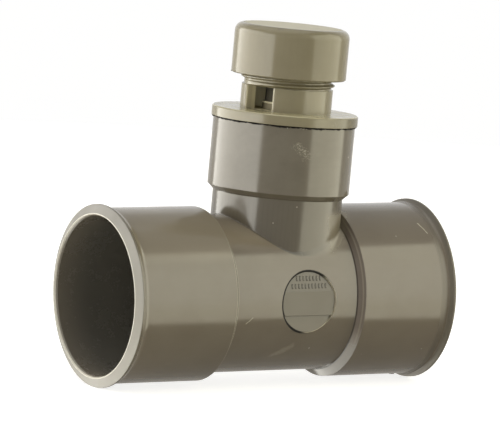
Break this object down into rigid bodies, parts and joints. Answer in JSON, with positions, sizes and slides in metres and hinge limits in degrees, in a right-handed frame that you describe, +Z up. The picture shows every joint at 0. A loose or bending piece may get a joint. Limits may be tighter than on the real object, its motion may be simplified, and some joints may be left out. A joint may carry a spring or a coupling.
{
  "type": "anti-siphon tee",
  "caption": "PVC waste tee with two flared run sockets and, in its leaning branch, an air admittance valve with a neck, air windows and a screw cap.",
  "frame": {"origin": "centre of the inlet socket's pipe stop, on the run's axis", "axes": "+X along the run towards the outlet socket, +Z up on the side of the branch, +Y away from the badge"},
  "size_m": [0.0945, 0.0462, 0.0918],
  "materials": {
    "tee_pvc": "semi-gloss warm grey PVC",
    "valve_pvc": "semi-gloss yellowish grey PVC",
    "cap_pvc": "satin beige grey PVC",
    "disc_plastic": "matt off-white plastic",
    "seal_rubber": "matt black rubber"
  },
  "bodies": {
    "tee": {"tee_body": "tee_pvc", "valve_body": "valve_pvc"},
    "gasket": {"cap_gasket": "seal_rubber"},
    "cap": {"screw_cap": "cap_pvc"},
    "disc": {"valve_disc": "disc_plastic", "rubber_ring": "seal_rubber"}
  },
  "joints": [
    {"name": "disc_lift", "type": "slide", "parent": "tee", "child": "disc", "axis": [0.0436, 0, 0.999], "range_m": [0, 0.0025]},
    {"name": "cap_lift", "type": "slide", "parent": "tee", "child": "gasket", "axis": [0.0436, 0, 0.999], "range_m": [0, 0.009]},
    {"name": "cap_turn", "type": "hinge", "parent": "gasket", "child": "cap", "pos_m": [0.0252, 0, 0], "axis": [0.0436, 0, 0.999], "range_deg": [0, 2160]}
  ],
  "couplings": [
    {"joint": "cap_lift", "follows": "cap_turn", "m_per_rad": 0.00023873}
  ]
}
